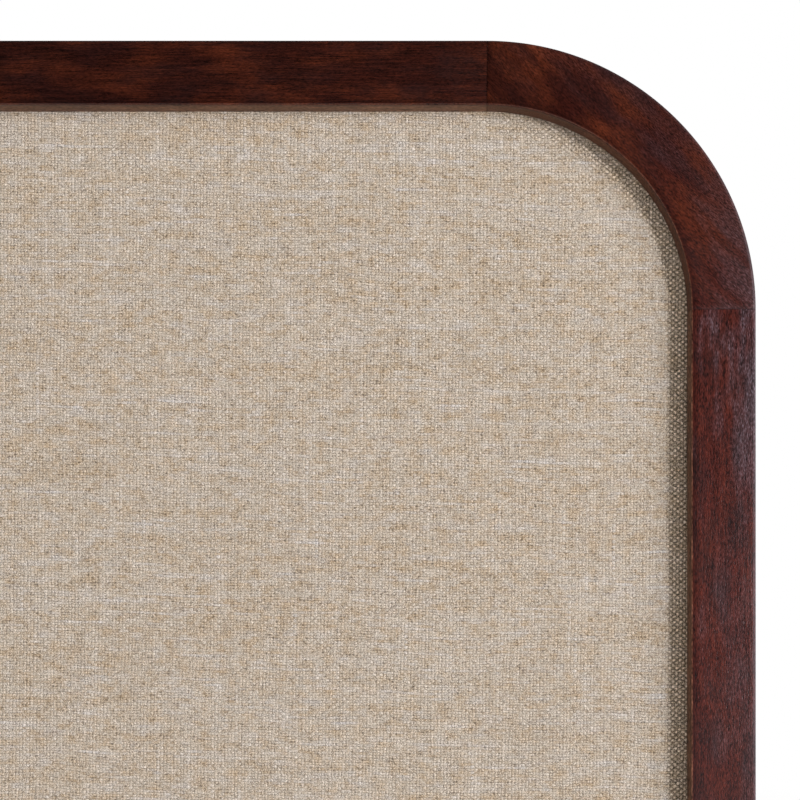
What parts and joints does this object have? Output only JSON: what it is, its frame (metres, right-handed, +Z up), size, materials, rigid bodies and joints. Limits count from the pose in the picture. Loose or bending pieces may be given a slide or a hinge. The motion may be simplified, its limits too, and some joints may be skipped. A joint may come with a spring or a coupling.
{
  "type": "pin board",
  "caption": "Wall-hung pin board: linen-covered tack panel recessed in a dark stained wood frame with rounded corner blocks, with D-ring hangers on the back.",
  "frame": {"origin": "on the wall plane, midway between the two hooks of the upright pair of D-rings, at the height where the rings' inner tops bear on them", "axes": "+Z up, +X to the right as seen from the front, +Y into the wall; the linen faces -Y"},
  "size_m": [0.508, 0.0302, 0.762],
  "materials": {
    "stained_wood": "dark stain, satin",
    "dowel_wood": "bare beech",
    "linen": "plain woven, natural",
    "fibreboard": "soft, unfinished",
    "hardboard": "smooth brown",
    "zinc_steel": "zinc plated",
    "bumper_rubber": "matt"
  },
  "bodies": {
    "board": {"top_rail": "stained_wood", "right_rail": "stained_wood", "bottom_rail": "stained_wood", "left_rail": "stained_wood", "top_right_corner_block": "stained_wood", "bottom_right_corner_block": "stained_wood", "bottom_left_corner_block": "stained_wood", "top_left_corner_block": "stained_wood", "top_rail_left_dowel_front": "dowel_wood", "top_rail_left_dowel_back": "dowel_wood", "top_rail_right_dowel_front": "dowel_wood", "top_rail_right_dowel_back": "dowel_wood", "right_rail_upper_dowel_front": "dowel_wood", "right_rail_upper_dowel_back": "dowel_wood", "right_rail_lower_dowel_front": "dowel_wood", "right_rail_lower_dowel_back": "dowel_wood", "bottom_rail_right_dowel_front": "dowel_wood", "bottom_rail_right_dowel_back": "dowel_wood", "bottom_rail_left_dowel_front": "dowel_wood", "bottom_rail_left_dowel_back": "dowel_wood", "left_rail_lower_dowel_front": "dowel_wood", "left_rail_lower_dowel_back": "dowel_wood", "left_rail_upper_dowel_front": "dowel_wood", "left_rail_upper_dowel_back": "dowel_wood", "linen_cover": "linen", "tack_core": "fibreboard", "backing_board": "hardboard", "upright_left_strap": "zinc_steel", "upright_right_strap": "zinc_steel", "sideways_top_strap": "zinc_steel", "sideways_bottom_strap": "zinc_steel", "upright_left_screw": "zinc_steel", "upright_right_screw": "zinc_steel", "sideways_top_screw": "zinc_steel", "sideways_bottom_screw": "zinc_steel", "top_retaining_point_1": "zinc_steel", "top_retaining_point_2": "zinc_steel", "top_retaining_point_3": "zinc_steel", "right_retaining_point_1": "zinc_steel", "right_retaining_point_2": "zinc_steel", "right_retaining_point_3": "zinc_steel", "right_retaining_point_4": "zinc_steel", "bottom_retaining_point_1": "zinc_steel", "bottom_retaining_point_2": "zinc_steel", "bottom_retaining_point_3": "zinc_steel", "left_retaining_point_1": "zinc_steel", "left_retaining_point_2": "zinc_steel", "left_retaining_point_3": "zinc_steel", "left_retaining_point_4": "zinc_steel", "top_right_bumper": "bumper_rubber", "bottom_right_bumper": "bumper_rubber", "bottom_left_bumper": "bumper_rubber", "top_left_bumper": "bumper_rubber"},
    "upright_left_ring": {"upright_left_ring": "zinc_steel"},
    "upright_right_ring": {"upright_right_ring": "zinc_steel"},
    "sideways_top_ring": {"sideways_top_ring": "zinc_steel"},
    "sideways_bottom_ring": {"sideways_bottom_ring": "zinc_steel"}
  },
  "joints": [
    {"name": "upright_left_ring_swing", "type": "hinge", "parent": "board", "child": "upright_left_ring", "pos_m": [-0.245, -0.0029, -0.011], "axis": [1, 0, 0], "range_deg": [0, 180]},
    {"name": "upright_right_ring_swing", "type": "hinge", "parent": "board", "child": "upright_right_ring", "pos_m": [0.245, -0.0029, -0.011], "axis": [1, 0, 0], "range_deg": [0, 180]},
    {"name": "sideways_top_ring_swing", "type": "hinge", "parent": "board", "child": "sideways_top_ring", "pos_m": [-0.127, -0.0029, 0.1324], "axis": [0, 0, 1], "range_deg": [0, 180]},
    {"name": "sideways_bottom_ring_swing", "type": "hinge", "parent": "board", "child": "sideways_bottom_ring", "pos_m": [-0.127, -0.0029, -0.6116], "axis": [0, 0, 1], "range_deg": [0, 180]}
  ]
}
